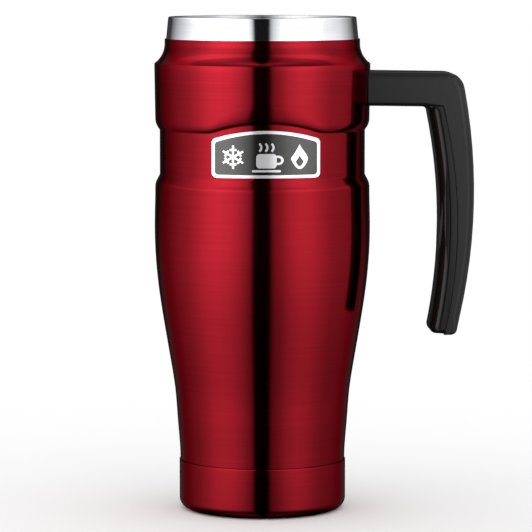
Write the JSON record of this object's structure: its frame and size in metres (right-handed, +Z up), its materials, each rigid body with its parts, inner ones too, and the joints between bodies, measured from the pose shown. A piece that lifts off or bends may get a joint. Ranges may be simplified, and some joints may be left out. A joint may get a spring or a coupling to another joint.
{
  "type": "insulated travel mug",
  "caption": "Double-walled vacuum travel mug with a threaded open mouth, waisted foot that fits a cup holder and a one-armed side handle.",
  "frame": {"origin": "on the mug's axis, in the plane of the surface that it stands on", "axes": "+Z up along the mug's axis, +X from the axis towards the handle, -Y the side that the badge faces"},
  "size_m": [0.1184, 0.0802, 0.1834],
  "materials": {
    "red_lacquer": "transparent red lacquer over polished stainless steel",
    "polished_steel": "mirror polished stainless steel",
    "liner_steel": "electropolished, faint turning marks",
    "handle_plastic": "satin moulded polypropylene",
    "grip_plastic": "smooth moulded polypropylene",
    "badge_metal": "pale satin aluminium",
    "badge_enamel": "dark grey clear-coated ink",
    "film": "acrylic bonding film",
    "copper_foil": "bright rolled copper foil",
    "getter_metal": "sintered grey powder metal",
    "bracket_steel": "plain pressed stainless steel",
    "seal_glass": "dark low-melting sealing glass",
    "cover_steel": "satin stainless disc",
    "fastener_steel": "bright stainless",
    "insert_brass": "knurled brass"
  },
  "bodies": {
    "root": {"badge_adhesive": "film", "badge_emblem": "badge_metal", "badge_face": "badge_enamel", "badge_plate": "badge_metal", "base_cup": "red_lacquer", "boss_inserts": "insert_brass", "bracket_saddle": "bracket_steel", "getter_clip": "bracket_steel", "getter_pill": "getter_metal", "grip_cover": "grip_plastic", "handle_bracket": "bracket_steel", "handle_screws": "fastener_steel", "handle_shell": "handle_plastic", "inner_liner": "liner_steel", "mouth_ring": "polished_steel", "outer_shell": "red_lacquer", "radiation_foil": "copper_foil", "screw_washers": "fastener_steel", "seal_cover": "cover_steel", "vacuum_seal": "seal_glass"}
  },
  "joints": []
}
